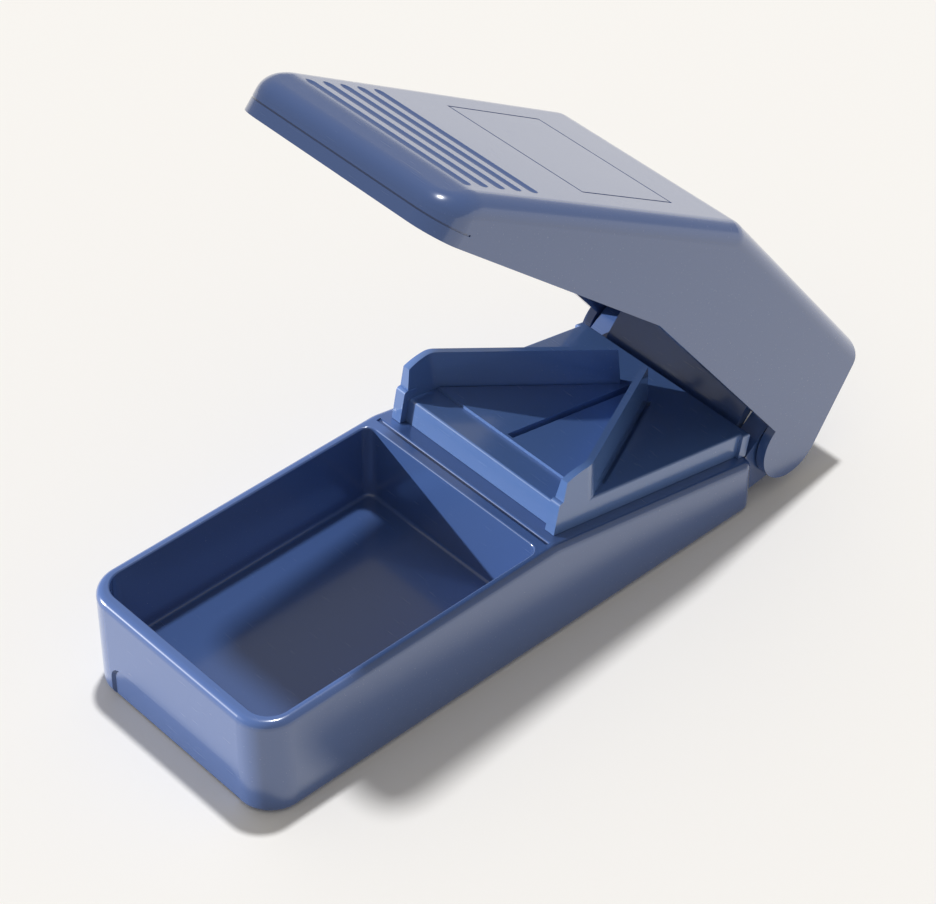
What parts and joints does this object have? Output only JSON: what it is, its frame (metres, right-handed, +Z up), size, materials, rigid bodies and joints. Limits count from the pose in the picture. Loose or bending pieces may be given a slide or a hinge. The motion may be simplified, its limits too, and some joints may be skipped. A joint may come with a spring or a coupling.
{
  "type": "pill splitter",
  "caption": "Pocket pill splitter of moulded plastic: a tray base with a sloping deck, a V-shaped tablet holder and a hinged lid that carries a blade.",
  "frame": {"origin": "middle of the flat underside of the base, halfway between its front face and the rear end of its deck", "axes": "+X across the body to the side that faces the camera, +Y from the tray towards the hinge, +Z up"},
  "size_m": [0.033, 0.097, 0.0727],
  "materials": {
    "body_plastic": "glossy moulded blue",
    "holder_plastic": "glossy moulded lighter blue",
    "lid_plastic": "glossy moulded blue",
    "carrier_plastic": "satin moulded blue",
    "clamp_plastic": "satin moulded blue",
    "blade_steel": "ground stainless steel"
  },
  "bodies": {
    "body": {"base": "body_plastic", "pill_holder": "holder_plastic"},
    "lid_group": {"lid": "lid_plastic", "blade_holder": "carrier_plastic", "blade_clamp": "clamp_plastic", "blade": "blade_steel"}
  },
  "joints": [
    {"name": "lid_hinge", "type": "hinge", "parent": "body", "child": "lid_group", "pos_m": [0, 0.0461, 0.0068], "axis": [-1, 0, 0], "range_deg": [-41.5, 54]}
  ]
}
